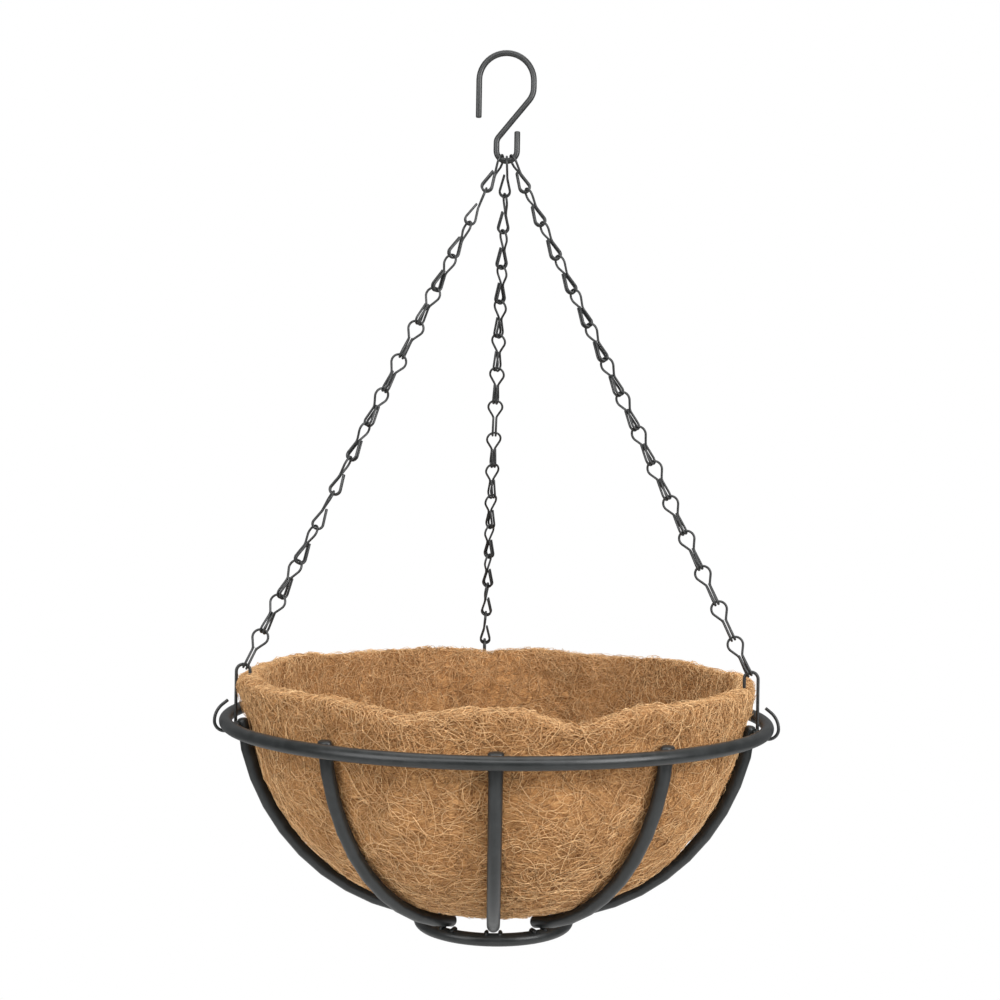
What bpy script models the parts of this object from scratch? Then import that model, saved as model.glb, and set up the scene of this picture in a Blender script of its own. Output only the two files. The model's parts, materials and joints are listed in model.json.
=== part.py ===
"""Hanging basket: a welded rod bowl, a coir liner, three wire chains and an S-hook.

The origin is the point that the basket hangs from, at the top of the inside of the S-hook's
upper bend. +Z is up and the front of the basket faces -Y. All sizes are in millimetres until
they reach a Blender object, where MM turns them into metres.
"""

import math

import bmesh
import bpy
from mathutils import Matrix, Vector

MM = 0.001

# S-hook: one round wire in the XZ plane
HOOK_WIRE = 3.8
HOOK_TOP_RADIUS = 17.5
HOOK_TOP_CENTRE = (0.0, -15.6)
HOOK_FREE_LEG_END = -39.7
HOOK_SHOULDER = 4.5
HOOK_SLANT = math.radians(38.9)
HOOK_SHOULDER_RADIUS = 13.0
HOOK_KNEE_RADIUS = 6.0
HOOK_FOOT_RADIUS = 6.6
HOOK_FOOT_CENTRE = (0.8, -60.7)
HOOK_FOOT_LEG_END = -48.3

# top ring and base ring: round rods rolled into hoops
ROD = 8.0
RING_RADIUS = 171.0
RING_Z = -424.3
BASE_RADIUS = 47.0
BASE_DROP = 128.9
BASE_SIDES = 8
RING_SIDES = 10
HOOP_STEPS = 40

# ribs: rods bent to one arc, welded inside the top ring and on top of the base ring
RIB_COUNT = 10
RIB_STEPS = 12
RIB_TOP_RADIUS = 162.6
RIB_TOP_RISE = 4.5
RIB_END_RADIUS = 43.0
RIB_SAGITTA = 29.0
WELD_GAP = 0.35
WELD_SINK = 0.9

# chains: one wire link, bent as an eye above and a double hook below
CHAIN_LINKS = 15
LINK_WIRE = 1.5
EYE_HALF_WIDTH = 4.8
EYE_RISE = 1.65
HOOK_DROP = 1.3
CHEEK_HALF_WIDTH = 3.6
CHEEK_DEPTH = 8.0
NECK_HALF_WIDTH = 1.1
NECK_DEPTH = 13.2
HOOK_FRONT = -2.7
HOOK_FRONT_RISE = 3.0
HOOK_HALF_FLAT = 1.9
HOOK_BACK = 4.2
HOOK_BACK_RISE = 5.0
STUB_HALF_WIDTH = 1.45
STUB_DEPTH = 11.8
CHAIN_SEAT_LEAN = math.radians(33)
SEAT_GAP = 0.4
FOOT_GAP = 0.8

# ring hooks: a thinner hook at the foot of each chain, curled round the top ring
CLIP_WIRE = 2.0
CLIP_LEG_RADIUS = 165.1
CLIP_EYE_RADIUS = 4.2
CLIP_EYE_RISE = 31.5
CLIP_TIP_RISE = 25.5

# coir liner: a pressed bowl that lies inside the ribs
LINER_THICKNESS = 9.0
LINER_GAP = 1.5
LINER_SECTORS = 40
LINER_ARC_STEPS = 6
LINER_RIM_RISE = 24.5
LINER_RIM_FLARE = 4.5
LINER_NOTCH = 5.0
LINER_NOTCH_SPREAD = math.radians(10)

# chain name, direction of its ring hook round the basket, seat on the S-hook, first twist, twist per link
CHAINS = (
    ("back", math.radians(93.5), 0, math.radians(0), math.radians(12.9)),
    ("left", math.radians(192.5), -1, math.radians(-12), math.radians(20.7)),
    ("right", math.radians(347.5), 1, math.radians(8), math.radians(5.8)),
)

SWING_PIVOT = (0.0, 0.0, -66.6)


def clear_scene():
    for item in list(bpy.data.objects):
        bpy.data.objects.remove(item, do_unlink=True)


def new_collection(name):
    collection = bpy.data.collections.new(name)
    bpy.context.scene.collection.children.link(collection)
    return collection


def material(name, colour, roughness, metallic):
    made = bpy.data.materials.new(name)
    made.use_nodes = True
    shader = made.node_tree.nodes["Principled BSDF"]
    shader.inputs["Base Color"].default_value = (*colour, 1.0)
    shader.inputs["Roughness"].default_value = roughness
    shader.inputs["Metallic"].default_value = metallic
    return made


def add_mesh(name, mesh, collection, finish, origin=(0.0, 0.0, 0.0)):
    """Puts a mesh drawn in world millimetres into the scene, with its origin at the given point."""
    mesh.transform(Matrix.Scale(MM, 4) @ Matrix.Translation(-Vector(origin)))
    mesh.shade_smooth()
    mesh.materials.clear()
    mesh.materials.append(finish)
    made = bpy.data.objects.new(name, mesh)
    made.location = Vector(origin) * MM
    collection.objects.link(made)
    return made


def tidy(mesh, merge=0.001):
    shape = bmesh.new()
    shape.from_mesh(mesh)
    bmesh.ops.remove_doubles(shape, verts=shape.verts, dist=merge)
    bmesh.ops.recalc_face_normals(shape, faces=shape.faces)
    shape.to_mesh(mesh)
    shape.free()
    return mesh


def wire_mesh(name, points, diameter, resolution):
    """A wire of the given diameter along the points, as a mesh with closed ends."""
    curve = bpy.data.curves.new(name + "_path", "CURVE")
    curve.dimensions = "3D"
    curve.bevel_depth = diameter / 2
    curve.bevel_resolution = resolution
    curve.use_fill_caps = True
    spline = curve.splines.new("POLY")
    spline.points.add(len(points) - 1)
    for place, point in zip(spline.points, points):
        place.co = (*point, 1.0)
    holder = bpy.data.objects.new(name + "_path", curve)
    bpy.context.scene.collection.objects.link(holder)
    mesh = bpy.data.meshes.new_from_object(holder)
    bpy.data.objects.remove(holder, do_unlink=True)
    mesh.name = name
    return tidy(mesh)


def hoop_mesh(name, radius, apothem, height, sides, steps):
    """A ring of flat-sided rod, with a flat on its underside."""
    rod = bmesh.new()
    corner = apothem / math.cos(math.pi / sides)
    half_side = math.pi / sides
    loops = []
    for step in range(steps):
        turn = 2 * math.pi * step / steps
        loop = []
        for side in range(sides):
            angle = -math.pi / 2 + half_side + 2 * math.pi * side / sides
            reach = radius + corner * math.cos(angle)
            loop.append(rod.verts.new((
                reach * math.cos(turn),
                reach * math.sin(turn),
                height + corner * math.sin(angle),
            )))
        loops.append(loop)
    for step in range(steps):
        here = loops[step]
        after = loops[(step + 1) % steps]
        for side in range(sides):
            beside = (side + 1) % sides
            rod.faces.new((here[side], here[beside], after[beside], after[side]))
    bmesh.ops.recalc_face_normals(rod, faces=rod.faces)
    mesh = bpy.data.meshes.new(name)
    rod.to_mesh(mesh)
    rod.free()
    return mesh


def arc(centre, radius, start, end, steps):
    """Points on an arc in a plane, from one angle to the other, both ends included."""
    return [
        (
            centre[0] + radius * math.cos(start + (end - start) * step / steps),
            centre[1] + radius * math.sin(start + (end - start) * step / steps),
        )
        for step in range(steps + 1)
    ]


def s_hook_path():
    """The S-hook's centreline in the XZ plane, from the free upper leg to the short lower leg."""
    top_x, top_z = HOOK_TOP_CENTRE
    foot_x, foot_z = HOOK_FOOT_CENTRE
    left = top_x - HOOK_TOP_RADIUS
    path = [(left, HOOK_FREE_LEG_END)]
    path += arc(HOOK_TOP_CENTRE, HOOK_TOP_RADIUS, math.pi, 0, 12)
    shoulder = (top_x + HOOK_TOP_RADIUS - HOOK_SHOULDER_RADIUS, top_z - HOOK_SHOULDER)
    path += arc(shoulder, HOOK_SHOULDER_RADIUS, 0, -HOOK_SLANT, 3)
    end_x, end_z = path[-1]
    knee_x = foot_x - HOOK_FOOT_RADIUS + HOOK_KNEE_RADIUS
    knee_start_x = knee_x - HOOK_KNEE_RADIUS * math.cos(HOOK_SLANT)
    knee_start_z = end_z - (end_x - knee_start_x) / math.tan(HOOK_SLANT)
    knee = (knee_x, knee_start_z - HOOK_KNEE_RADIUS * math.sin(HOOK_SLANT))
    path += arc(knee, HOOK_KNEE_RADIUS, math.pi - HOOK_SLANT, math.pi, 3)
    path += arc((foot_x, foot_z), HOOK_FOOT_RADIUS, math.pi, 2 * math.pi, 8)
    path.append((foot_x + HOOK_FOOT_RADIUS, HOOK_FOOT_LEG_END))
    return [(x, 0.0, z) for x, z in path]


def add_s_hook(collection, finish):
    mesh = wire_mesh("s_hook", s_hook_path(), HOOK_WIRE, 2)
    return add_mesh("s_hook", mesh, collection, finish)


def rib_arc():
    """Centre, radius and end angles of the ribs' arc, in the plane of a rib, from the top ring's centre."""
    top = Vector((RIB_TOP_RADIUS, RIB_TOP_RISE))
    end = Vector((RIB_END_RADIUS, -BASE_DROP + ROD + WELD_GAP))
    chord = end - top
    radius = chord.length_squared / (8 * RIB_SAGITTA) + RIB_SAGITTA / 2
    outward = Vector((-chord.y, chord.x)).normalized()
    centre = (top + end) / 2 - outward * (radius - RIB_SAGITTA)
    start = math.atan2(top.y - centre.y, top.x - centre.x)
    finish = math.atan2(end.y - centre.y, end.x - centre.x)
    return centre, radius, start, finish


def rib_path(direction, sink=0.0):
    """A rib's centreline. Its lower end may sink into the base ring, where the weld fuses the two."""
    centre, radius, start, finish = rib_arc()
    flat = arc(centre, radius, start, finish, RIB_STEPS)
    path = []
    for step, (reach, height) in enumerate(flat):
        drop = sink * (step / RIB_STEPS) ** 4
        path.append((
            reach * math.cos(direction),
            reach * math.sin(direction),
            RING_Z + height - drop,
        ))
    return path


def rib_directions():
    return [-math.pi / 2 + 2 * math.pi * rib / RIB_COUNT for rib in range(RIB_COUNT)]


def add_frame(collection, cutters, finish):
    """The top ring, the base ring with the front and back ribs welded on, and the eight side ribs."""
    ring = hoop_mesh("top_ring", RING_RADIUS, ROD / 2, RING_Z, RING_SIDES, HOOP_STEPS)
    add_mesh("top_ring", ring, collection, finish, SWING_PIVOT)
    base_z = RING_Z - BASE_DROP
    base_mesh = hoop_mesh("base_ring", BASE_RADIUS, ROD / 2, base_z, BASE_SIDES, HOOP_STEPS)
    base = add_mesh("base_ring_with_end_ribs", base_mesh, collection, finish, SWING_PIVOT)
    for rib, direction in enumerate(rib_directions()):
        if rib % (RIB_COUNT // 2):
            name = f"rib_{rib:02d}"
            mesh = wire_mesh(name, rib_path(direction), ROD, 2)
            add_mesh(name, mesh, collection, finish, SWING_PIVOT)
            continue
        name = f"end_rib_{rib:02d}"
        mesh = wire_mesh(name, rib_path(direction, WELD_SINK), ROD, 2)
        end_rib = add_mesh(name, mesh, cutters, finish, SWING_PIVOT)
        end_rib.hide_render = True
        end_rib.display_type = "WIRE"
        weld = base.modifiers.new("weld_" + name, "BOOLEAN")
        weld.operation = "UNION"
        weld.solver = "EXACT"
        weld.object = end_rib


def link_path(pitch):
    """A link's centreline about its upper seat, with the chain running down -Z.

    One wire: the crown of the eye is in the middle, both halves run down side by side, turn up
    again in a hook round the next link, and end in two stubs beside the neck.
    """
    bottom = -pitch - HOOK_DROP
    shoulder = math.sqrt(0.5) * EYE_HALF_WIDTH
    half = [
        (shoulder, 0.0, EYE_RISE - EYE_HALF_WIDTH + shoulder),
        (EYE_HALF_WIDTH, 0.0, EYE_RISE - EYE_HALF_WIDTH),
        (CHEEK_HALF_WIDTH, 0.0, -CHEEK_DEPTH),
        (NECK_HALF_WIDTH, 0.0, -NECK_DEPTH),
        (NECK_HALF_WIDTH, HOOK_FRONT, bottom + HOOK_FRONT_RISE),
        (NECK_HALF_WIDTH, -HOOK_HALF_FLAT, bottom),
        (NECK_HALF_WIDTH, HOOK_HALF_FLAT, bottom),
        (NECK_HALF_WIDTH, HOOK_BACK - 0.2, bottom + HOOK_BACK_RISE / 2),
        (NECK_HALF_WIDTH, HOOK_BACK, bottom + HOOK_BACK_RISE),
        (STUB_HALF_WIDTH, HOOK_BACK / 2, -STUB_DEPTH),
    ]
    mirrored = [(-x, y, z) for x, y, z in reversed(half)]
    return mirrored + [(0.0, 0.0, EYE_RISE)] + half


def chain_ends(direction, seat):
    """The upper and lower seats of a chain: in the S-hook's foot, and in the eye of its ring hook."""
    foot_x, foot_z = HOOK_FOOT_CENTRE
    lean = seat * CHAIN_SEAT_LEAN
    foot = Vector((
        foot_x + HOOK_FOOT_RADIUS * math.sin(lean),
        0.0,
        foot_z - HOOK_FOOT_RADIUS * math.cos(lean),
    ))
    outward = Vector((math.cos(direction), math.sin(direction), 0.0))
    eye = outward * (CLIP_LEG_RADIUS - CLIP_EYE_RADIUS) + Vector((0.0, 0.0, RING_Z + CLIP_EYE_RISE))
    run = (eye - foot).normalized()
    inner = CLIP_EYE_RADIUS - (CLIP_WIRE + LINK_WIRE) / 2 - SEAT_GAP
    depth = math.sqrt(inner**2 - NECK_HALF_WIDTH**2)
    upper = foot - run * ((HOOK_WIRE + LINK_WIRE) / 2 + FOOT_GAP - EYE_RISE)
    lower = eye - run * (depth + HOOK_DROP)
    return upper, lower


def chain_frame(upper, lower):
    """Axes of an untwisted link: its eye's width across the S-hook, and its run down the chain."""
    up = (upper - lower).normalized()
    side = Vector((-1.0, 0.0, 0.0))
    bulge = (side - up * side.dot(up)).normalized()
    across = bulge.cross(up)
    return Matrix((across, bulge, up)).transposed()


def add_chain(collection, finish, chain):
    """One chain's links, each turned a little further than the one above, and its ring hook."""
    name, direction, seat, twist, twist_step = chain
    upper, lower = chain_ends(direction, seat)
    frame = chain_frame(upper, lower)
    run = (lower - upper).normalized()
    pitch = (lower - upper).length / CHAIN_LINKS
    for number in range(CHAIN_LINKS):
        origin = upper + run * pitch * number
        turn = frame @ Matrix.Rotation(twist + twist_step * number, 3, "Z")
        points = [origin + turn @ Vector(point) for point in link_path(pitch)]
        label = f"{name}_chain_link_{number + 1:02d}"
        mesh = wire_mesh(label, points, LINK_WIRE, 1)
        add_mesh(label, mesh, collection, finish, origin)
    clip = wire_mesh(f"{name}_ring_hook", ring_hook_path(direction), CLIP_WIRE, 1)
    add_mesh(f"{name}_ring_hook", clip, collection, finish, lower)


def ring_hook_path(direction):
    """A ring hook's centreline: eye over the liner's rim, leg inside the ring, curl up outside it."""
    leg = CLIP_LEG_RADIUS - RING_RADIUS
    eye_centre = (leg - CLIP_EYE_RADIUS, CLIP_EYE_RISE)
    flat = [(leg - 2 * CLIP_EYE_RADIUS, CLIP_TIP_RISE)]
    flat += arc(eye_centre, CLIP_EYE_RADIUS, math.pi, 0, 6)
    flat += [
        (leg, -1.5),
        (-3.6, -5.2),
        (0.5, -6.5),
        (4.4, -4.8),
        (7.0, 0.0),
        (7.2, 5.5),
        (5.0, 10.5),
        (0.6, 14.0),
    ]
    return [
        (
            (RING_RADIUS + across) * math.cos(direction),
            (RING_RADIUS + across) * math.sin(direction),
            RING_Z + rise,
        )
        for across, rise in flat
    ]


def liner_section():
    """The liner's outer and inner outlines in one radial plane, from the centre out to the rim."""
    centre, radius, start, finish = rib_arc()
    outer_radius = radius - ROD / 2 - LINER_GAP
    inner_radius = outer_radius - LINER_THICKNESS
    outer = arc(centre, outer_radius, -math.pi / 2, start, LINER_ARC_STEPS)
    inner = arc(centre, inner_radius, -math.pi / 2, start, LINER_ARC_STEPS)
    return outer, inner


def rim_rise(direction):
    """Height of the rim above the top ring: soft waves, with a dip under each ring hook's eye."""
    wave = 1.6 * math.sin(2 * direction + 0.4) + 1.0 * math.sin(5 * direction + 1.0)
    dip = 0.0
    for chain in CHAINS:
        away = math.remainder(direction - chain[1], 2 * math.pi)
        dip = max(dip, math.exp(-((away / LINER_NOTCH_SPREAD) ** 2)))
    return LINER_RIM_RISE + wave * (1 - dip) - LINER_NOTCH * dip


def add_liner(collection, finish):
    """The coir bowl: a closed shell with an open mouth and a soft, uneven rim."""
    outer, inner = liner_section()
    outer_edge = outer[-1][0]
    shell = bmesh.new()
    sectors = []
    for sector in range(LINER_SECTORS):
        direction = 2 * math.pi * sector / LINER_SECTORS
        top = rim_rise(direction)
        half = LINER_THICKNESS / 2
        outline = list(outer)
        outline.append((outer_edge + 0.7 * LINER_RIM_FLARE, 0.5 * top))
        outline.append((outer_edge + LINER_RIM_FLARE, top - half))
        outline.append((outer_edge + LINER_RIM_FLARE - half, top))
        outline.append((outer_edge + LINER_RIM_FLARE - 2 * half, top - half))
        outline.append((outer_edge + 0.7 * LINER_RIM_FLARE - 2 * half, 0.5 * top))
        outline += list(reversed(inner))
        sectors.append([
            shell.verts.new((
                reach * math.cos(direction),
                reach * math.sin(direction),
                RING_Z + height,
            ))
            for reach, height in outline
        ])
    for sector in range(LINER_SECTORS):
        here = sectors[sector]
        after = sectors[(sector + 1) % LINER_SECTORS]
        for step in range(len(here) - 1):
            shell.faces.new((here[step], after[step], after[step + 1], here[step + 1]))
    shell.faces.new([line[0] for line in sectors])
    shell.faces.new([line[-1] for line in sectors])
    bmesh.ops.recalc_face_normals(shell, faces=shell.faces)
    mesh = bpy.data.meshes.new("coir_liner")
    shell.to_mesh(mesh)
    shell.free()
    add_mesh("coir_liner", mesh, collection, finish, SWING_PIVOT)


def build():
    clear_scene()
    basket = new_collection("hanging_basket")
    cutters = new_collection("cutters")
    paint = material("painted_steel", (0.055, 0.06, 0.065), 0.45, 0.4)
    wire_paint = material("painted_wire", (0.045, 0.05, 0.05), 0.4, 0.5)
    coir = material("coir", (0.46, 0.25, 0.1), 0.95, 0.0)
    add_s_hook(basket, wire_paint)
    add_frame(basket, cutters, paint)
    for chain in CHAINS:
        add_chain(basket, wire_paint, chain)
    add_liner(basket, coir)


build()
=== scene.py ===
# %% [markdown]
# # A hanging basket with a coir liner
#
# This lesson dresses a ready-made frame: a bowl of welded round rod, three wire chains, an
# S-hook and a pressed coconut-fibre liner. The frame already knows every size and every joint,
# so each piece is modelled where the frame says and then told which moving body it rides on.

import json
import math

import bpy
import numpy as np
from mathutils import Matrix, Vector
from mathutils.bvhtree import BVHTree


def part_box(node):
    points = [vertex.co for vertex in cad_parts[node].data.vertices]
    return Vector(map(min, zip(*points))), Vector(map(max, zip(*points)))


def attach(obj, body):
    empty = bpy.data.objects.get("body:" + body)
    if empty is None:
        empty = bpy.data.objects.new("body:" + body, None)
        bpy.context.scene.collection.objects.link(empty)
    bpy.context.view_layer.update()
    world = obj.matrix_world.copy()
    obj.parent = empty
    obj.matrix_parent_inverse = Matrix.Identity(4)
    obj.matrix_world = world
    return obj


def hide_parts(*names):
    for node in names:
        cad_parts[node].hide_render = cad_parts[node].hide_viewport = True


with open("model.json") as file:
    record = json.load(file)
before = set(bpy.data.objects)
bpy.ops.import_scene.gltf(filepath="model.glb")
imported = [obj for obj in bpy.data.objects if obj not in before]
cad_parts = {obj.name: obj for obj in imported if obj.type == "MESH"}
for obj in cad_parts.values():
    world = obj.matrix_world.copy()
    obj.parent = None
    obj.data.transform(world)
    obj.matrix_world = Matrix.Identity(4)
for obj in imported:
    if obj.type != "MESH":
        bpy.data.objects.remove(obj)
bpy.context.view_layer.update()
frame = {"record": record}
joints = {joint["name"]: joint for joint in frame["record"]["behaviour"]["joints"]}
MM = 0.001
ring_low, ring_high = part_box("top_ring")
RING_Z = (ring_low[2] + ring_high[2]) / 2 / MM
ROD = 8.0
S_HOOK_WIRE = 3.8
CHAIN_WIRE = 1.5
RING_HOOK_WIRE = 2.0
RING_RADIUS = (ring_high[0] - ring_low[0]) / 2 / MM - ROD / 2
print("top ring: radius", round(RING_RADIUS, 1), "mm at height", round(RING_Z, 1), "mm")

# %% [markdown]
# ## Camera, floor and light
#
# The basket hangs in the air, so the camera looks at it level, from far enough back that the
# perspective stays gentle, and leans by less than a degree. The floor lies well below it. A soft
# lamp low on the right is the strongest, so each dark rod has one clear highlight; weaker lamps
# from the left, the front and above fill the rest, and a white surrounding keeps the background
# plain.

# %% Camera
camera_data = bpy.data.cameras.new("camera")
camera_data.lens = 55.6
camera_data.sensor_width = 36.0
camera = bpy.data.objects.new("camera", camera_data)
camera.location = (0.0, -0.99, -0.2846)
camera.rotation_euler = (math.pi / 2, -math.radians(0.9), 0.0)
bpy.context.scene.collection.objects.link(camera)
bpy.context.scene.camera = camera
bpy.context.scene.view_settings.view_transform = "Standard"
print("camera looks level from", round(-camera.location.y, 2), "m in front")


# %% Floor and soft light
def deselect():
    if bpy.context.object and bpy.context.object.mode != "OBJECT":
        bpy.ops.object.mode_set(mode="OBJECT")
    bpy.ops.object.select_all(action="DESELECT")


def soft_lamp(name, place, target, size, power):
    lamp_data = bpy.data.lights.new(name, "AREA")
    lamp_data.shape = "RECTANGLE"
    lamp_data.size, lamp_data.size_y = size
    lamp_data.energy = power
    lamp = bpy.data.objects.new(name, lamp_data)
    lamp.location = place
    lamp.rotation_euler = (Vector(target) - Vector(place)).to_track_quat("-Z", "Y").to_euler()
    bpy.context.scene.collection.objects.link(lamp)


deselect()
bpy.ops.mesh.primitive_circle_add(vertices=96, radius=1.9, fill_type="NGON", location=(0, 0, -1.25))
floor = bpy.context.object
floor.name = "floor"
pale = bpy.data.materials.new("pale_floor")
pale.use_nodes = True
pale.node_tree.nodes["Principled BSDF"].inputs["Base Color"].default_value = (0.86, 0.86, 0.85, 1)
pale.node_tree.nodes["Principled BSDF"].inputs["Roughness"].default_value = 0.8
floor.data.materials.append(pale)

middle = (0.0, 0.0, -0.35)
soft_lamp("key_lamp", (1.55, -1.3, 0.25), middle, (1.0, 1.4), 44)
soft_lamp("fill_lamp", (-1.5, -1.4, 0.2), middle, (1.2, 1.6), 28)
soft_lamp("front_lamp", (0.0, -1.8, 0.9), middle, (2.0, 1.0), 24)
soft_lamp("top_lamp", (0.0, 0.1, 1.3), middle, (1.6, 1.6), 14)

world = bpy.data.worlds.new("white_room")
bpy.context.scene.world = world
world.use_nodes = True
room = world.node_tree
room.nodes.clear()
ray = room.nodes.new("ShaderNodeLightPath")
seen = room.nodes.new("ShaderNodeBackground")
seen.inputs["Color"].default_value = (1, 1, 1, 1)
seen.inputs["Strength"].default_value = 1.0
around = room.nodes.new("ShaderNodeBackground")
around.inputs["Color"].default_value = (0.97, 0.98, 1.0, 1)
around.inputs["Strength"].default_value = 0.24
choose = room.nodes.new("ShaderNodeMixShader")
room_out = room.nodes.new("ShaderNodeOutputWorld")
room.links.new(ray.outputs["Is Camera Ray"], choose.inputs["Fac"])
room.links.new(around.outputs["Background"], choose.inputs[1])
room.links.new(seen.outputs["Background"], choose.inputs[2])
room.links.new(choose.outputs["Shader"], room_out.inputs["Surface"])
print("four soft lamps and a white room")

# %% [markdown]
# ## Painted metal
#
# The rods and wires carry a thin satin coat, almost black. Up close such a coat is never one
# flat colour: it has a fine skin like an orange's, faint cloudy patches, and a little pale dust
# where a surface looks up. Rods and wires share the effect, so it is a node group that gives a
# colour, a roughness and a height, and each material places it with its own numbers.


# %% Node helpers and the coat's group
def new_group(name, inputs, outputs):
    group = bpy.data.node_groups.new(name, "ShaderNodeTree")
    for label, kind, value in inputs:
        socket = group.interface.new_socket(name=label, in_out="INPUT", socket_type=kind)
        socket.default_value = value
    for label, kind in outputs:
        group.interface.new_socket(name=label, in_out="OUTPUT", socket_type=kind)
    start = group.nodes.new("NodeGroupInput")
    end = group.nodes.new("NodeGroupOutput")
    return group, start, end


def node(tree, kind, **settings):
    made = tree.nodes.new("ShaderNode" + kind)
    for key, value in settings.items():
        if hasattr(made, key):
            setattr(made, key, value)
        else:
            made.inputs[key.replace("_", " ")].default_value = value
    return made


def link(tree, source, target):
    tree.links.new(source, target)


def maths(tree, operation, first, second):
    made = node(tree, "Math", operation=operation)
    for socket, value in zip(made.inputs, (first, second)):
        if isinstance(value, (int, float)):
            socket.default_value = value
        else:
            link(tree, value, socket)
    return made.outputs[0]


def mix_colour(tree, factor, first, second):
    made = node(tree, "Mix", data_type="RGBA")
    for socket, value in ((made.inputs[0], factor), (made.inputs[6], first), (made.inputs[7], second)):
        if isinstance(value, (int, float, tuple)):
            socket.default_value = value
        else:
            link(tree, value, socket)
    return made.outputs[2]


coat, coat_in, coat_out = new_group(
    "paint_coat",
    [("Deep", "NodeSocketColor", (0.02, 0.022, 0.023, 1)),
     ("Worn", "NodeSocketColor", (0.06, 0.065, 0.067, 1)),
     ("Grain", "NodeSocketFloat", 1400.0),
     ("Dust", "NodeSocketFloat", 0.3)],
    [("Color", "NodeSocketColor"), ("Roughness", "NodeSocketFloat"), ("Height", "NodeSocketFloat")],
)
where = node(coat, "TexCoord")
skin = node(coat, "TexNoise", Detail=3.0, Roughness=0.6)
link(coat, where.outputs["Object"], skin.inputs["Vector"])
link(coat, coat_in.outputs["Grain"], skin.inputs["Scale"])
cloud = node(coat, "TexNoise", Scale=95.0, Detail=5.0, Roughness=0.65)
link(coat, where.outputs["Object"], cloud.inputs["Vector"])
patch = node(coat, "MapRange", From_Min=0.38, From_Max=0.72)
link(coat, cloud.outputs["Fac"], patch.inputs["Value"])
tint = mix_colour(coat, patch.outputs["Result"], coat_in.outputs["Deep"], coat_in.outputs["Worn"])
facing = node(coat, "SeparateXYZ")
shape = node(coat, "NewGeometry")
link(coat, shape.outputs["Normal"], facing.inputs["Vector"])
upward = node(coat, "MapRange", From_Min=0.35, From_Max=1.0)
link(coat, facing.outputs["Z"], upward.inputs["Value"])
speck = maths(coat, "MULTIPLY", upward.outputs["Result"], cloud.outputs["Fac"])
dusty = maths(coat, "MULTIPLY", speck, coat_in.outputs["Dust"])
final = mix_colour(coat, dusty, tint, (0.30, 0.29, 0.27, 1))
link(coat, final, coat_out.inputs["Color"])
spread = node(coat, "MapRange", From_Min=0.3, From_Max=0.7, To_Min=0.28, To_Max=0.40)
link(coat, cloud.outputs["Fac"], spread.inputs["Value"])
link(coat, spread.outputs["Result"], coat_out.inputs["Roughness"])
link(coat, skin.outputs["Fac"], coat_out.inputs["Height"])
print("paint coat group:", len(coat.nodes), "nodes")


# %% Two coats, for the rods and for the wires
def coated(name, deep, worn, grain, dust, bump):
    made = bpy.data.materials.new(name)
    made.use_nodes = True
    tree = made.node_tree
    shader = tree.nodes["Principled BSDF"]
    surface = node(tree, "Group", node_tree=coat)
    surface.inputs["Deep"].default_value = deep
    surface.inputs["Worn"].default_value = worn
    surface.inputs["Grain"].default_value = grain
    surface.inputs["Dust"].default_value = dust
    raised = node(tree, "Bump", Strength=bump, Distance=0.0002)
    link(tree, surface.outputs["Height"], raised.inputs["Height"])
    link(tree, surface.outputs["Color"], shader.inputs["Base Color"])
    link(tree, surface.outputs["Roughness"], shader.inputs["Roughness"])
    link(tree, raised.outputs["Normal"], shader.inputs["Normal"])
    shader.inputs["Specular IOR Level"].default_value = 0.42
    return made


rod_paint = coated("rod_paint", (0.010, 0.0115, 0.0115, 1), (0.020, 0.022, 0.0225, 1), 1500.0, 0.12, 0.22)
wire_paint = coated("wire_paint", (0.020, 0.021, 0.021, 1), (0.035, 0.036, 0.036, 1), 2600.0, 0.08, 0.18)
print("coats:", rod_paint.name, "and", wire_paint.name)

# %% [markdown]
# ## Bending wire
#
# Every metal part of this basket is a straight rod or wire that went through a bender. The same
# two moves make them here. A round face is placed at the start; "run" extrudes it forward and
# "turn" spins it round a centre beside it, as a bending roller does. A list of moves is then a
# recipe for a part. A curve with a bevel would also work, but this way each bend has the radius
# that a maker would set on the machine.


# %% The wire bender
def finish_mesh(piece, smooth_angle=50):
    bpy.ops.object.mode_set(mode="EDIT")
    bpy.ops.mesh.select_all(action="SELECT")
    bpy.ops.mesh.remove_doubles(threshold=0.00001)
    bpy.ops.mesh.normals_make_consistent(inside=False)
    bpy.ops.object.mode_set(mode="OBJECT")
    bpy.ops.object.shade_smooth_by_angle(angle=math.radians(smooth_angle))


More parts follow.
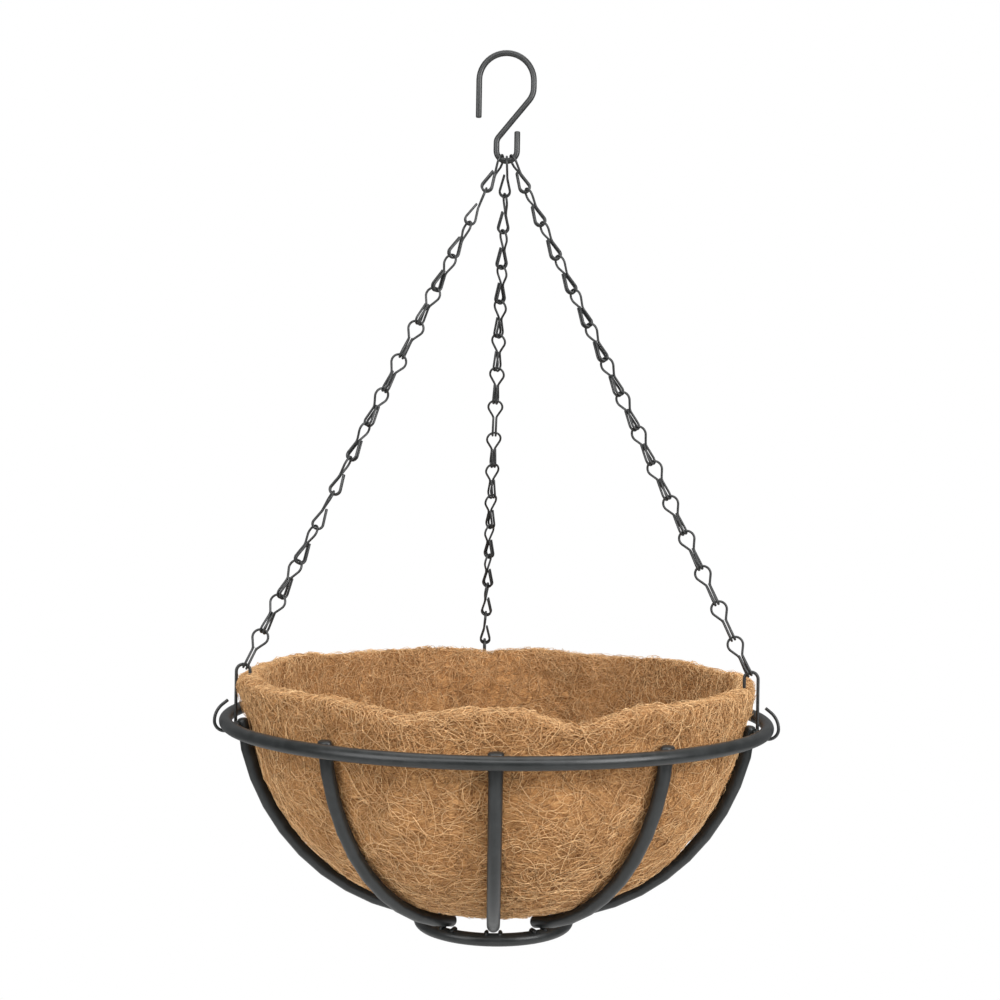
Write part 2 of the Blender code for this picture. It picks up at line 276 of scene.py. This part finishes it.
def bend_wire(name, start, heading, diameter, sides, moves, cap=0.3):
    """A wire from start, in millimetres: ("run", length) or ("turn", degrees, radius, axis) moves."""
    deselect()
    place = Vector(start) * MM
    ahead = Vector(heading).normalized()
    bpy.ops.mesh.primitive_circle_add(
        vertices=sides, radius=diameter / 2 * MM, fill_type="NGON",
        location=place, rotation=ahead.to_track_quat("Z", "Y").to_euler())
    piece = bpy.context.object
    piece.name = name
    bpy.ops.object.transform_apply(location=True, rotation=True, scale=True)
    bpy.ops.object.mode_set(mode="EDIT")
    bpy.ops.mesh.select_all(action="SELECT")
    for move in moves:
        if move[0] == "run":
            step = ahead * move[1] * MM
            bpy.ops.mesh.extrude_region_move(TRANSFORM_OT_translate={"value": step})
            place = place + step
            continue
        angle = math.radians(move[1])
        axis = Vector(move[3]).normalized()
        centre = place + axis.cross(ahead) * move[2] * MM * (1 if angle > 0 else -1)
        steps = max(2, round(abs(move[1]) / 7.5))
        bpy.ops.mesh.spin(steps=steps, angle=-angle, center=centre, axis=axis)
        turn = Matrix.Rotation(angle, 3, axis)
        place = centre + turn @ (place - centre)
        ahead = turn @ ahead
    bpy.ops.object.mode_set(mode="OBJECT")
    edge = piece.modifiers.new("rounded_end", "BEVEL")
    edge.limit_method = "ANGLE"
    edge.angle_limit = math.radians(60)
    edge.width = diameter / 2 * MM * cap
    edge.segments = 2
    bpy.ops.object.modifier_apply(modifier=edge.name)
    finish_mesh(piece)
    return piece


def copy_of(piece, name, place):
    """A copy with its own mesh, moved by a matrix in metres."""
    twin = piece.copy()
    twin.data = piece.data.copy()
    twin.name = name
    twin.data.transform(place)
    bpy.context.scene.collection.objects.link(twin)
    return twin


def settle(piece, body, material, slot, *nodes):
    """Gives a finished piece its material and its body, and hides the frame parts that it stands for."""
    piece.data.materials.clear()
    piece.data.materials.append(material)
    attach(piece, body)
    if nodes:
        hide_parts(*nodes)


# %% [markdown]
# ## S-hook
#
# One stout wire: a free leg, a wide bend that goes over the bracket, a slanted shank and a small
# bend that carries the chains. All of it lies in one plane, so every turn is about the Y axis.

# %% S-hook
ACROSS = (0, 1, 0)
slant = 38.9
UPPER_BEND = 17.5
LOWER_BEND = 6.6
shank = math.hypot(19.09, 23.66)
s_hook = bend_wire("s_hook_wire", (-UPPER_BEND, 0, -39.7), (0, 0, 1), S_HOOK_WIRE, 20, [
    ("run", 24.1),
    ("turn", 180, UPPER_BEND, ACROSS),
    ("run", 4.5),
    ("turn", slant, 13.0, ACROSS),
    ("run", shank),
    ("turn", -slant, 6.0, ACROSS),
    ("run", 5.0),
    ("turn", -180, LOWER_BEND, ACROSS),
    ("run", 12.4),
])
settle(s_hook, "s_hook", wire_paint, "painted_wire", "s_hook")

# %% [markdown]
# ## Chain links
#
# Each link is one thin wire. Its middle is bent into a round eye, both halves come together and
# run down side by side, and the pair is curled up into a double hook that holds the next eye.
# The two cut ends stand up close to the neck. Half a link is bent and mirrored, so both sides
# match, and the finished link is copied down each chain, every copy turned a little further than
# the one above, because a hanging chain of this kind always winds slowly about itself.

# %% One link
LINKS = 15
chain_start = Vector(joints["left_link_01_hinge"]["pos_m"])
chain_end = Vector(joints["left_ring_hook_hinge"]["pos_m"])
PITCH = (chain_end - chain_start).length / LINKS / MM
EYE = 4.8
CROWN = 0.85
NECK = 1.05
TURN_U = 3.3
BESIDE = (0, 1, 0)
FRONT = (1, 0, 0)
bend_in = 30
slope = math.radians(bend_in)
slide = (EYE * math.cos(slope) - NECK - 5.0 * (1 - math.cos(slope))) / math.sin(slope)
half_link = bend_wire("link_half", (0, 0, CROWN), (1, 0, 0), CHAIN_WIRE, 10, [
    ("turn", 90 + bend_in, EYE, BESIDE),
    ("run", slide),
    ("turn", -bend_in, 5.0, BESIDE),
    ("turn", -10, 4.0, FRONT),
    ("run", 7.4),
    ("turn", 208, TURN_U, FRONT),
    ("run", 10.3),
])
half_link.data.transform(Matrix.Translation((0, 0, -CROWN * MM)))
half_link.data.transform(Matrix.Rotation(math.radians(-4.2), 4, "X"))
half_link.data.transform(Matrix.Translation((0, 0, CROWN * MM)))
print("half link:", [round(v / MM, 2) for v in half_link.dimensions], "mm, pitch", round(PITCH, 2))

# %% Mirror the half link into a whole one
deselect()
half_link.select_set(True)
bpy.context.view_layer.objects.active = half_link
bpy.ops.object.mode_set(mode="EDIT")
bpy.ops.mesh.select_all(action="SELECT")
bpy.ops.mesh.bisect(plane_co=(0.00002, 0, 0), plane_no=(1, 0, 0), clear_inner=True)
bpy.ops.object.mode_set(mode="OBJECT")
mirror = half_link.modifiers.new("other_half", "MIRROR")
mirror.use_axis[0] = True
mirror.use_clip = True
mirror.merge_threshold = 0.00006
bpy.ops.object.modifier_apply(modifier=mirror.name)
finish_mesh(half_link)
half_link.name = "link_pattern"
lows = [min(v.co[axis] for v in half_link.data.vertices) / MM for axis in range(3)]
highs = [max(v.co[axis] for v in half_link.data.vertices) / MM for axis in range(3)]
print("link from", [round(v, 2) for v in lows], "to", [round(v, 2) for v in highs], "mm,",
      len(half_link.data.polygons), "faces")

# %% Three chains
TWISTS = {"back": (0.0, 12.9), "left": (-12.0, 20.7), "right": (8.0, 5.8)}


def link_frame(run):
    """Axes of an untwisted link: across its eye, the way its hook bulges, and up the chain."""
    up = -run
    side = Vector((-1, 0, 0))
    bulge = (side - up * side.dot(up)).normalized()
    return Matrix((bulge.cross(up), bulge, up)).transposed()


for chain, (first_twist, twist_step) in TWISTS.items():
    top = Vector(joints[f"{chain}_link_01_hinge"]["pos_m"])
    foot = Vector(joints[f"{chain}_ring_hook_hinge"]["pos_m"])
    run = (foot - top).normalized()
    axes = link_frame(run)
    for number in range(LINKS):
        turn = axes @ Matrix.Rotation(math.radians(first_twist + twist_step * number), 3, "Z")
        seat = top + (foot - top) * number / LINKS
        label = f"{chain}_chain_link_{number + 1:02d}"
        twin = copy_of(half_link, label + "_wire", Matrix.Translation(seat) @ turn.to_4x4())
        settle(twin, label, wire_paint, "painted_wire", label)
    print(chain, "chain:", LINKS, "links,", round((foot - top).length, 3), "m long")
bpy.data.objects.remove(half_link)

# %% [markdown]
# ## Ring hooks
#
# A chain ends in a larger hook of 2 mm wire. Its small eye sits above the liner's rim, its leg
# goes down inside the top ring, and the wire curls under the ring and up again outside it.

# %% Ring hooks
HOOK_EYE = 4.2
HOOK_CURL = 6.45
LEG_RADIUS = 165.1
EYE_RISE = 25.5
for chain in TWISTS:
    foot = Vector(joints[f"{chain}_ring_hook_hinge"]["pos_m"])
    outward = Vector((foot.x, foot.y, 0)).normalized()
    round_ring = (-outward.y, outward.x, 0)
    start = outward * (LEG_RADIUS - 2 * HOOK_EYE) + Vector((0, 0, RING_Z + EYE_RISE))
    hook = bend_wire(f"{chain}_ring_hook_wire", start, (0, 0, 1), RING_HOOK_WIRE, 14, [
        ("run", 6.0),
        ("turn", 180, HOOK_EYE, round_ring),
        ("run", 30.4),
        ("turn", -180, HOOK_CURL, round_ring),
        ("turn", -52, 13.0, round_ring),
        ("run", 4.0),
    ])
    settle(hook, f"{chain}_ring_hook", wire_paint, "painted_wire", f"{chain}_ring_hook")
    hook_reach = max(v.co.xy.length for v in hook.data.vertices) / MM
    print(chain, "ring hook reaches", round(hook_reach, 1), "mm")

# %% [markdown]
# ## Rings and ribs
#
# The top ring and the small base ring are rods rolled into hoops, so a circle is spun all the way
# round and its seam merged. The ten ribs are one bent rod, copied round the bowl. Their upper ends
# are welded inside the top ring and their lower ends lie on the base ring. A weld is a small lumpy
# bead that the paint has run over, so it is a squashed ball with a little noise pushed into it.


# %% Hoops
def hoop(name, radius, height, steps):
    deselect()
    bpy.ops.mesh.primitive_circle_add(
        vertices=24, radius=ROD / 2 * MM, fill_type="NOTHING",
        location=(radius * MM, 0, height * MM), rotation=(math.pi / 2, 0, 0))
    piece = bpy.context.object
    piece.name = name
    bpy.ops.object.transform_apply(location=True, rotation=True, scale=True)
    bpy.ops.object.mode_set(mode="EDIT")
    bpy.ops.mesh.select_all(action="SELECT")
    bpy.ops.mesh.spin(steps=steps, angle=2 * math.pi, center=(0, 0, 0), axis=(0, 0, 1))
    bpy.ops.object.mode_set(mode="OBJECT")
    finish_mesh(piece)
    return piece


BASE_RADIUS = 47.0
BASE_DROP = 128.9
BASE_Z = RING_Z - BASE_DROP
top_ring = hoop("top_ring_rod", RING_RADIUS, RING_Z, 160)
base_ring = hoop("base_ring_rod", BASE_RADIUS, BASE_Z, 80)
print("hoops:", len(top_ring.data.polygons), "and", len(base_ring.data.polygons), "faces")


# %% Weld beads
def weld_bead(place, size):
    """A small ball at the place, squashed to its size in millimetres and made uneven."""
    deselect()
    bpy.ops.mesh.primitive_ico_sphere_add(subdivisions=3, radius=MM, location=Vector(place) * MM)
    bead = bpy.context.object
    bead.scale = size
    bpy.ops.object.transform_apply(location=True, rotation=True, scale=True)
    lumps = bpy.data.textures.new("bead_lumps", "CLOUDS")
    lumps.noise_scale = 0.0022
    push = bead.modifiers.new("lumps", "DISPLACE")
    push.texture = lumps
    push.texture_coords = "GLOBAL"
    push.strength = 0.0011
    push.mid_level = 0.5
    bpy.ops.object.modifier_apply(modifier=push.name)
    bpy.ops.object.shade_smooth()
    return bead


def join(base, others):
    deselect()
    for other in others:
        other.select_set(True)
    base.select_set(True)
    bpy.context.view_layer.objects.active = base
    bpy.ops.object.join()
    return base


# %% One rib with its welds
RIB_TOP = Vector((162.6, 4.5))
RIB_FOOT = Vector((43.0, -120.55))
SAG = 29.0
chord = RIB_FOOT - RIB_TOP
rib_radius = chord.length_squared / (8 * SAG) + SAG / 2
outward_side = Vector((-chord.y, chord.x)).normalized()
rib_centre = (RIB_TOP + RIB_FOOT) / 2 - outward_side * (rib_radius - SAG)
first_angle = math.degrees(math.atan2(RIB_TOP.y - rib_centre.y, RIB_TOP.x - rib_centre.x))
last_angle = math.degrees(math.atan2(RIB_FOOT.y - rib_centre.y, RIB_FOOT.x - rib_centre.x))
heading = math.radians(first_angle - 90)
pattern = bend_wire(
    "rib_pattern",
    (RIB_TOP.x, 0, RING_Z + RIB_TOP.y),
    (math.cos(heading), 0, math.sin(heading)),
    ROD, 20, [("turn", first_angle - last_angle, rib_radius, (0, 1, 0))], cap=0.35)
beads = [
    weld_bead((166.2, side * 3.3, RING_Z - 0.5), (1.7, 1.9, 3.1)) for side in (-1, 1)
] + [
    weld_bead((47.0, side * 4.2, BASE_Z + 4.0), (3.0, 1.5, 1.8)) for side in (-1, 1)
]
join(pattern, beads)
print("rib: radius", round(rib_radius, 1), "mm over", round(first_angle - last_angle, 1), "degrees")

# %% Flatten the rib's upper end where the clamp held it
top_end = [v for v in pattern.data.vertices if v.co.z > (RING_Z - 4) * MM and v.co.x < 0.1668]
for vertex in top_end:
    rise = min(1.0, (vertex.co.z / MM - (RING_Z - 4)) / 9.0)
    vertex.co.y *= 1 + 0.18 * rise
    vertex.co.x += (0.1626 - vertex.co.x) * 0.25 * rise
print("flattened", len(top_end), "points")

# %% Ten ribs round the bowl
for rib in range(10):
    turn = Matrix.Rotation(-math.pi / 2 + 2 * math.pi * rib / 10, 4, "Z")
    piece = copy_of(pattern, f"rib_{rib:02d}_rod", turn)
    if rib % 5:
        settle(piece, "basket", rod_paint, "painted_steel", f"rib_{rib:02d}")
    else:
        settle(piece, "basket", rod_paint, "painted_steel")
bpy.data.objects.remove(pattern)
seam = weld_bead((20.0, -169.4, RING_Z - 0.4), (1.6, 2.9, 3.7))
join(top_ring, [seam])
settle(top_ring, "basket", rod_paint, "painted_steel", "top_ring")
settle(base_ring, "basket", rod_paint, "painted_steel", "base_ring_with_end_ribs")
print("ribs placed")

# %% [markdown]
# ## Coir mat
#
# The liner is a mat of coconut fibre pressed into a bowl about 9 mm thick. Real ones are never
# even: the rim waves, the wall swells between the ribs, and it folds in where a hook pushes at it.
# One sheet is extruded ring by ring up the bowl's profile, moved by given folds and waves, and
# then thickened inwards. Cloth simulation would not help, because the pressed mat holds its shape.

# %% Profile of the bowl
RIM_RISE = 24.75
MAT_GAP = 1.5
MAT_THICKNESS = 9.0
mat_radius = rib_radius - ROD / 2 - MAT_GAP
rows = [(radius, rib_centre.y - mat_radius) for radius in (8, 12, 16)]
edge_angle = math.radians(first_angle)
for step in range(56):
    angle = -math.pi / 2 + (edge_angle + math.pi / 2) * step / 55
    rows.append((rib_centre.x + mat_radius * math.cos(angle), rib_centre.y + mat_radius * math.sin(angle)))
edge_radius, edge_height = rows[-1]
for step in range(1, 10):
    rows.append((edge_radius + 4.0 * (step / 9) ** 0.8, edge_height + (RIM_RISE - edge_height) * step / 9))
print(len(rows), "rows from the middle to the rim")

# %% Extrude the sheet up the profile
SECTORS = 432
deselect()
bpy.ops.mesh.primitive_circle_add(
    vertices=SECTORS, radius=4 * MM, fill_type="TRIFAN", location=(0, 0, (RING_Z + rows[0][1]) * MM))
mat = bpy.context.object
mat.name = "coir_mat"
bpy.ops.object.transform_apply(location=True, rotation=True, scale=True)
bpy.ops.object.mode_set(mode="EDIT")
bpy.ops.mesh.select_mode(type="EDGE")
bpy.ops.mesh.select_all(action="DESELECT")
bpy.ops.mesh.select_non_manifold()
here_radius, here_height = 4.0, rows[0][1]
for radius, height in rows:
    bpy.ops.mesh.extrude_region_move(TRANSFORM_OT_translate={"value": (0, 0, (height - here_height) * MM)})
    grow = radius / here_radius
    bpy.ops.transform.resize(value=(grow, grow, 1), center_override=(0, 0, (RING_Z + height) * MM))
    here_radius, here_height = radius, height
bpy.ops.mesh.select_mode(type="VERT")
bpy.ops.object.mode_set(mode="OBJECT")
print("sheet:", len(mat.data.vertices), "points")

# %% Waves, swellings and folds
HOOKS = [math.atan2(joints[f"{c}_ring_hook_hinge"]["pos_m"][1], joints[f"{c}_ring_hook_hinge"]["pos_m"][0])
         for c in TWISTS]
points = np.empty(len(mat.data.vertices) * 3)
mat.data.vertices.foreach_get("co", points)
points = points.reshape(-1, 3) / MM
around_angle = np.arctan2(points[:, 1], points[:, 0])
reach = np.hypot(points[:, 0], points[:, 1])
rise = points[:, 2] - RING_Z


def near(angle, centre, spread):
    away = (angle - centre + np.pi) % (2 * np.pi) - np.pi
    return np.exp(-(away / math.radians(spread)) ** 2)


upper = np.clip((rise - edge_height) / (RIM_RISE - edge_height), 0, 1)
wall = np.clip((rise + 115) / 60, 0, 1) * np.clip((20 - rise) / 45, 0, 1)
rim_goal = 26.3 - 1.0 * np.cos(around_angle) + 1.2 * np.sin(around_angle)
for from_front, depth, spread in ((-48, 1.5, 10), (-19, 7.0, 9), (17, 9.5, 9), (46, 1.5, 8)):
    rim_goal -= depth * near(around_angle, math.radians(from_front - 90), spread)
rim_goal += 0.7 * np.sin(9 * around_angle + 2.0) + 0.5 * np.sin(15 * around_angle)
for hook_angle, seat_height in zip(HOOKS, (24.0, 21.0, 18.0)):
    dip = near(around_angle, hook_angle, 3.2)
    rim_goal = rim_goal * (1 - dip) + np.minimum(rim_goal, seat_height) * dip
rise = rise + upper * (rim_goal - RIM_RISE)
swell = (1 - np.cos(10 * (around_angle + np.pi / 2))) / 2
reach = reach + 3.0 * swell * wall
reach = reach + upper * (1.4 * np.sin(4 * around_angle + 0.6) + 1.2 * np.sin(7 * around_angle + 2.2))
reach = reach + (0.4 + 0.6 * upper) * wall * 1.2 * np.sin(13 * around_angle + rise / 25)
high_wall = np.clip((rise + 70) / 80, 0, 1)
reach = reach - 5.5 * high_wall * near(around_angle, math.radians(97), 3.2)
reach = reach - 3.5 * high_wall * near(around_angle, math.radians(64), 5.0)
reach = reach - 3.0 * high_wall * near(around_angle, math.radians(128), 6.0)
points = np.stack([reach * np.cos(around_angle), reach * np.sin(around_angle), rise + RING_Z], 1) * MM
mat.data.vertices.foreach_set("co", points.ravel())
mat.data.update()
rim_low, rim_high = float(rim_goal.min()), float(rim_goal.max())
print("rim between", round(rim_low, 1), "and", round(rim_high, 1), "mm above the ring")

# %% Thickness, soft edge and lumps
finish_mesh(mat, 180)
wall_thickness = mat.modifiers.new("thickness", "SOLIDIFY")
wall_thickness.thickness = MAT_THICKNESS * MM
wall_thickness.offset = -1.0
bpy.ops.object.modifier_apply(modifier=wall_thickness.name)
soft = mat.modifiers.new("soft_edge", "BEVEL")
soft.limit_method = "ANGLE"
soft.angle_limit = math.radians(50)
soft.width = 3.6 * MM
soft.segments = 4
bpy.ops.object.modifier_apply(modifier=soft.name)
for label, scale, strength in (("lumps", 0.018, 0.0034), ("tufts", 0.0045, 0.0022)):
    texture = bpy.data.textures.new(label, "CLOUDS")
    texture.noise_scale = scale
    texture.noise_depth = 2
    push = mat.modifiers.new(label, "DISPLACE")
    push.texture = texture
    push.texture_coords = "GLOBAL"
    push.strength = strength
    push.mid_level = 0.5
    bpy.ops.object.modifier_apply(modifier=push.name)
bpy.ops.object.shade_smooth()
print("coir mat:", len(mat.data.polygons), "faces,", [round(v, 3) for v in mat.dimensions], "m")

# %% [markdown]
# ## Coir, in the mass and strand by strand
#
# Pressed coir is a tangle of stiff brown hairs with dark, shaded pits between them. The mat itself gets
# streaks that run every way, made from noise that is stretched along three different axes, over a
# dark brown ground that paints the shade in the pits. The hairs that stand proud of it are real, thin
# tubes, and each carries a tone from straw to dark brown as an attribute on its mesh: its own tone,
# with painted shade on the hairs underneath and painted light on the hairs on top.

# %% Streaks of pressed fibre
streaks, streaks_in, streaks_out = new_group(
    "pressed_streaks",
    [("Scale", "NodeSocketFloat", 160.0), ("Curl", "NodeSocketFloat", 0.012)],
    [("Mask", "NodeSocketFloat"), ("Height", "NodeSocketFloat")],
)
place_in = node(streaks, "TexCoord")
curl = node(streaks, "TexNoise", Scale=55.0, Detail=2.0)
link(streaks, place_in.outputs["Object"], curl.inputs["Vector"])
centred = node(streaks, "VectorMath", operation="SUBTRACT")
centred.inputs[1].default_value = (0.5, 0.5, 0.5)
link(streaks, curl.outputs["Color"], centred.inputs[0])
amount = node(streaks, "VectorMath", operation="SCALE")
link(streaks, centred.outputs[0], amount.inputs[0])
link(streaks, streaks_in.outputs["Curl"], amount.inputs["Scale"])
bent = node(streaks, "VectorMath", operation="ADD")
link(streaks, place_in.outputs["Object"], bent.inputs[0])
link(streaks, amount.outputs[0], bent.inputs[1])
layers = []
for turn_by in ((0.3, 0.9, 0.2), (1.1, -0.5, 1.3), (-0.8, 0.4, 2.3)):
    turned = node(streaks, "Mapping")
    turned.inputs["Rotation"].default_value = turn_by
    turned.inputs["Scale"].default_value = (0.9, 9.0, 9.0)
    link(streaks, bent.outputs[0], turned.inputs["Vector"])
    strand = node(streaks, "TexNoise", Detail=2.0, Roughness=0.55)
    link(streaks, turned.outputs["Vector"], strand.inputs["Vector"])
    link(streaks, streaks_in.outputs["Scale"], strand.inputs["Scale"])
    layers.append(strand.outputs["Fac"])
strongest = maths(streaks, "MAXIMUM", maths(streaks, "MAXIMUM", layers[0], layers[1]), layers[2])
mask = node(streaks, "MapRange", From_Min=0.48, From_Max=0.74)
link(streaks, strongest, mask.inputs["Value"])
link(streaks, mask.outputs["Result"], streaks_out.inputs["Mask"])
link(streaks, strongest, streaks_out.inputs["Height"])
print("streak group:", len(streaks.nodes), "nodes")

# %% The mat's material
coir = bpy.data.materials.new("pressed_coir")
coir.use_nodes = True
tree = coir.node_tree
shader = tree.nodes["Principled BSDF"]
pattern_node = node(tree, "Group", node_tree=streaks)
pattern_node.inputs["Scale"].default_value = 120.0
pattern_node.inputs["Curl"].default_value = 0.014
spot = node(tree, "TexCoord")
patchy = node(tree, "TexNoise", Scale=28.0, Detail=4.0)
link(tree, spot.outputs["Object"], patchy.inputs["Vector"])
warm = node(tree, "MapRange", From_Min=0.35, From_Max=0.65)
link(tree, patchy.outputs["Fac"], warm.inputs["Value"])
# Between the streaks the mat is a dark brown that varies at random; its darkness is painted shade for the
# pits under the fibres.
ground_with_painted_shade = mix_colour(tree, warm.outputs["Result"], (0.13, 0.050, 0.014, 1), (0.31, 0.142, 0.047, 1))
colour = mix_colour(tree, pattern_node.outputs["Mask"], ground_with_painted_shade, (0.60, 0.335, 0.14, 1))
link(tree, colour, shader.inputs["Base Color"])
raised = node(tree, "Bump", Strength=0.9, Distance=0.0012)
link(tree, pattern_node.outputs["Height"], raised.inputs["Height"])
link(tree, raised.outputs["Normal"], shader.inputs["Normal"])
shader.inputs["Roughness"].default_value = 0.9
shader.inputs["Specular IOR Level"].default_value = 0.2
settle(mat, "basket", coir, "coir", "coir_liner")

# %% The loose hairs' material
hair = bpy.data.materials.new("coir_hair")
hair.use_nodes = True
tree = hair.node_tree
shader = tree.nodes["Principled BSDF"]
# This attribute sets each hair's colour on a ramp from dark brown to straw; it holds the hair's own tone,
# with painted shade for the hairs underneath and painted light for the hairs on top.
tone_and_shade = node(tree, "Attribute", attribute_name="tone_and_shade")
ramp = node(tree, "ValToRGB")
ramp.color_ramp.elements[0].color = (0.20, 0.078, 0.022, 1)
ramp.color_ramp.elements[1].color = (0.88, 0.58, 0.30, 1)
middle_stop = ramp.color_ramp.elements.new(0.5)
middle_stop.color = (0.55, 0.29, 0.112, 1)
link(tree, tone_and_shade.outputs["Fac"], ramp.inputs["Fac"])
along = node(tree, "TexCoord")
fleck = node(tree, "TexNoise", Scale=700.0, Detail=2.0)
link(tree, along.outputs["Object"], fleck.inputs["Vector"])
dark = node(tree, "MapRange", From_Min=0.3, From_Max=0.7, To_Min=0.72, To_Max=1.1)
link(tree, fleck.outputs["Fac"], dark.inputs["Value"])
shaded = node(tree, "VectorMath", operation="SCALE")
link(tree, ramp.outputs["Color"], shaded.inputs[0])
link(tree, dark.outputs["Result"], shaded.inputs["Scale"])
link(tree, shaded.outputs[0], shader.inputs["Base Color"])
shader.inputs["Roughness"].default_value = 0.62
shader.inputs["Specular IOR Level"].default_value = 0.35
print("materials:", coir.name, "and", hair.name)


# %% [markdown]
# ## Hairs on the mat
#
# A hair starts somewhere on the mat, heads off in a random direction and wanders. After each step
# it is pulled back to the mat, so it follows the bowl, and it is lifted a little in the middle so
# that it arches clear. More than thirty thousand hairs would be slow one at a time, so they are
# worked out together as arrays, and each becomes a three-sided tube of a few dozen faces.


# %% Grow hairs over a mesh
def mesh_arrays(piece):
    data = piece.data
    data.calc_loop_triangles()
    corners = np.empty(len(data.vertices) * 3)
    data.vertices.foreach_get("co", corners)
    triangles = np.empty(len(data.loop_triangles) * 3, dtype=np.int64)
    data.loop_triangles.foreach_get("vertices", triangles)
    return corners.reshape(-1, 3), triangles.reshape(-1, 3)


def unit(vectors):
    return vectors / np.maximum(np.linalg.norm(vectors, axis=-1, keepdims=True), 1e-12)


corners, triangles = mesh_arrays(mat)
tree_of_mat = BVHTree.FromPolygons([Vector(c) for c in corners], triangles.tolist())
tri_a, tri_b, tri_c = (corners[triangles[:, k]] for k in range(3))
tri_cross = np.cross(tri_b - tri_a, tri_c - tri_a)
tri_area = np.linalg.norm(tri_cross, axis=1)
tri_normal = unit(tri_cross)
tri_middle = (tri_a + tri_b + tri_c) / 3


def grow_hairs(rng, count, weight, length, curl, lift, joints_in_hair=7):
    """Paths of hairs on the mat, as an array of count x points x 3, in metres."""
    chance = tri_area * weight
    pick = rng.choice(len(triangles), count, p=chance / chance.sum())
    mix = rng.dirichlet((1, 1, 1), count)
    place = (tri_a[pick] * mix[:, :1] + tri_b[pick] * mix[:, 1:2] + tri_c[pick] * mix[:, 2:])
    normal = tri_normal[pick]
    heading = unit(np.cross(normal, unit(rng.normal(size=(count, 3)))))
    reach_of = rng.uniform(*length, count)[:, None] * MM / (joints_in_hair - 1)
    spin = rng.normal(0, curl, count)
    path = np.empty((count, joints_in_hair, 3))
    normals = np.empty_like(path)
    for step in range(joints_in_hair):
        path[:, step] = place
        normals[:, step] = normal
        angle = (spin + rng.normal(0, curl * 0.4, count))[:, None]
        heading = heading * np.cos(angle) + np.cross(normal, heading) * np.sin(angle)
        moved = place + heading * reach_of
        for index in range(count):
            spot_on, spot_normal, _, _ = tree_of_mat.find_nearest(moved[index])
            place[index] = spot_on
            normal[index] = spot_normal
        heading = unit(heading - normal * np.sum(heading * normal, axis=1, keepdims=True))
    arch = np.sin(np.linspace(0, math.pi, joints_in_hair)) ** 0.7
    up_by = rng.uniform(*lift, count)[:, None] * arch[None, :] - 0.25
    return path + normals * up_by[..., None] * MM, normals


# %% Turn paths into thin tubes
def hair_piece(name, paths, normals, radius, tones_and_shades):
    count, steps, _ = paths.shape
    ahead = unit(np.gradient(paths, axis=1))
    side = unit(np.cross(ahead, normals))
    top = np.cross(side, ahead)
    taper = np.linspace(1.0, 0.55, steps)[None, :, None]
    rings = [
        paths + (side * math.cos(a) + top * math.sin(a)) * radius[:, None, None] * taper
        for a in (math.pi / 2, math.pi * 7 / 6, math.pi * 11 / 6)
    ]
    verts = np.stack(rings, axis=2).reshape(-1, 3)
    first = (np.arange(count) * steps * 3)[:, None, None]
    ring = (np.arange(steps - 1) * 3)[None, :, None]
    corner = np.arange(3)[None, None, :]
    a = first + ring + corner
    b = first + ring + (corner + 1) % 3
    quads = np.stack([a, b, b + 3, a + 3], axis=-1).reshape(-1, 4)
    base = (np.arange(count) * steps * 3)[:, None]
    low = base + np.array([[2, 1, 0]])
    high = base + (steps - 1) * 3 + np.array([[0, 1, 2]])
    mesh = bpy.data.meshes.new(name)
    mesh.from_pydata(verts.tolist(), [], quads.tolist() + low.tolist() + high.tolist())
    mesh.attributes.new("tone_and_shade", "FLOAT", "POINT")
    mesh.attributes["tone_and_shade"].data.foreach_set("value", np.repeat(tones_and_shades, steps * 3))
    mesh.shade_smooth()
    piece = bpy.data.objects.new(name, mesh)
    bpy.context.scene.collection.objects.link(piece)
    settle(piece, "basket", hair, "coir")
    return len(quads) * 2 + count * 2


# %% Hairs all over
BATCHES = 3
HAIRS_IN_BATCH = 5000
RIM_HAIRS = 4200
rng = np.random.default_rng(11)
everywhere = np.ones(len(triangles))
high_up = np.clip((tri_middle[:, 2] / MM - RING_Z - 5) / 10, 0, 1) + 0.001
total = 0
# The under-hairs get dark tones: besides each hair's own tone, this is painted shade deep in the tangle.
for batch in range(BATCHES):
    paths, normals = grow_hairs(rng, HAIRS_IN_BATCH, everywhere, (14, 36), 0.55, (0.0, 0.7))
    total += hair_piece(f"coir_under_hairs_{batch + 1}", paths, normals,
                        rng.uniform(0.16, 0.28, len(paths)) * MM,
                        np.clip(rng.normal(0.34, 0.2, len(paths)), 0, 1))
# The top hairs get light tones: besides each hair's own tone, this is painted light on the hairs that lie
# uppermost.
for batch in range(BATCHES):
    paths, normals = grow_hairs(rng, HAIRS_IN_BATCH, everywhere, (18, 44), 0.6, (0.5, 1.9))
    total += hair_piece(f"coir_hairs_{batch + 1}", paths, normals,
                        rng.uniform(0.15, 0.27, len(paths)) * MM,
                        np.clip(rng.normal(0.72, 0.2, len(paths)), 0, 1))
# The rim hairs get light tones too: besides each hair's own tone, this is painted light on the top of the
# tangle.
paths, normals = grow_hairs(rng, RIM_HAIRS, high_up, (10, 30), 0.5, (0.4, 3.0))
total += hair_piece("coir_hairs_rim", paths, normals,
                    rng.uniform(0.13, 0.26, len(paths)) * MM,
                    np.clip(rng.normal(0.68, 0.2, len(paths)), 0, 1))
print("hairs:", total, "triangles")
